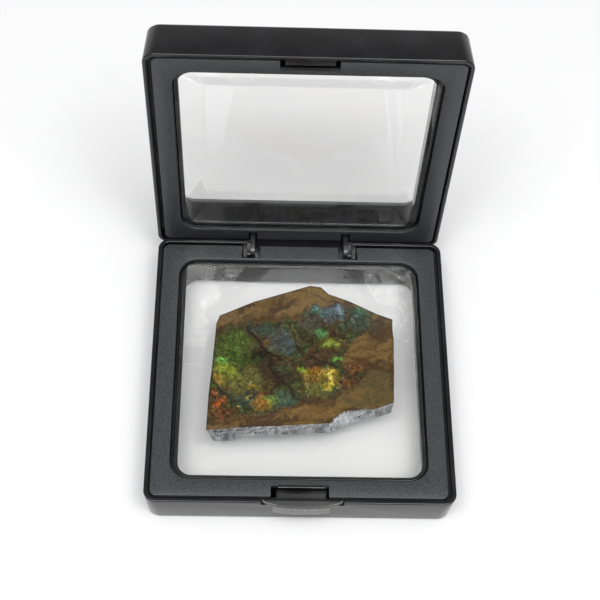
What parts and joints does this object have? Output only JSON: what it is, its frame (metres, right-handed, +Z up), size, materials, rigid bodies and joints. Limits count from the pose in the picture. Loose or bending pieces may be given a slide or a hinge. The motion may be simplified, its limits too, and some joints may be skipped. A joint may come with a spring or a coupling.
{
  "type": "ammolite specimen in a hinged display case",
  "caption": "Polished ammolite slab lying on the clear film of a square black hinged display case, lid standing open.",
  "frame": {"origin": "under the middle of the whole open object, on the surface that the case stands on", "axes": "+Z up, -Y towards the latch at the front, +Y towards the hinge and the upright lid, +X to the right seen from the front"},
  "size_m": [0.0703, 0.082, 0.076],
  "materials": {
    "black_gloss_plastic": "glossy black moulded plastic",
    "dark_matte_plastic": "fine matte dark grey moulded texture",
    "clear_film": "clear glossy stretched film",
    "ammolite": "polished iridescent shell in brown and grey stone"
  },
  "bodies": {
    "base": {"base_shell": "black_gloss_plastic", "base_frame": "dark_matte_plastic", "base_film": "clear_film", "latch": "black_gloss_plastic", "ammolite_slab": "ammolite"},
    "lid": {"lid_shell": "black_gloss_plastic", "lid_frame": "dark_matte_plastic", "lid_film": "clear_film"}
  },
  "joints": [
    {"name": "lid_hinge", "type": "hinge", "parent": "base", "child": "lid", "pos_m": [0, 0.02855, 0.0074], "axis": [1, 0, 0], "range_deg": [0, 90], "deforming": ["base_film", "lid_film"]}
  ]
}
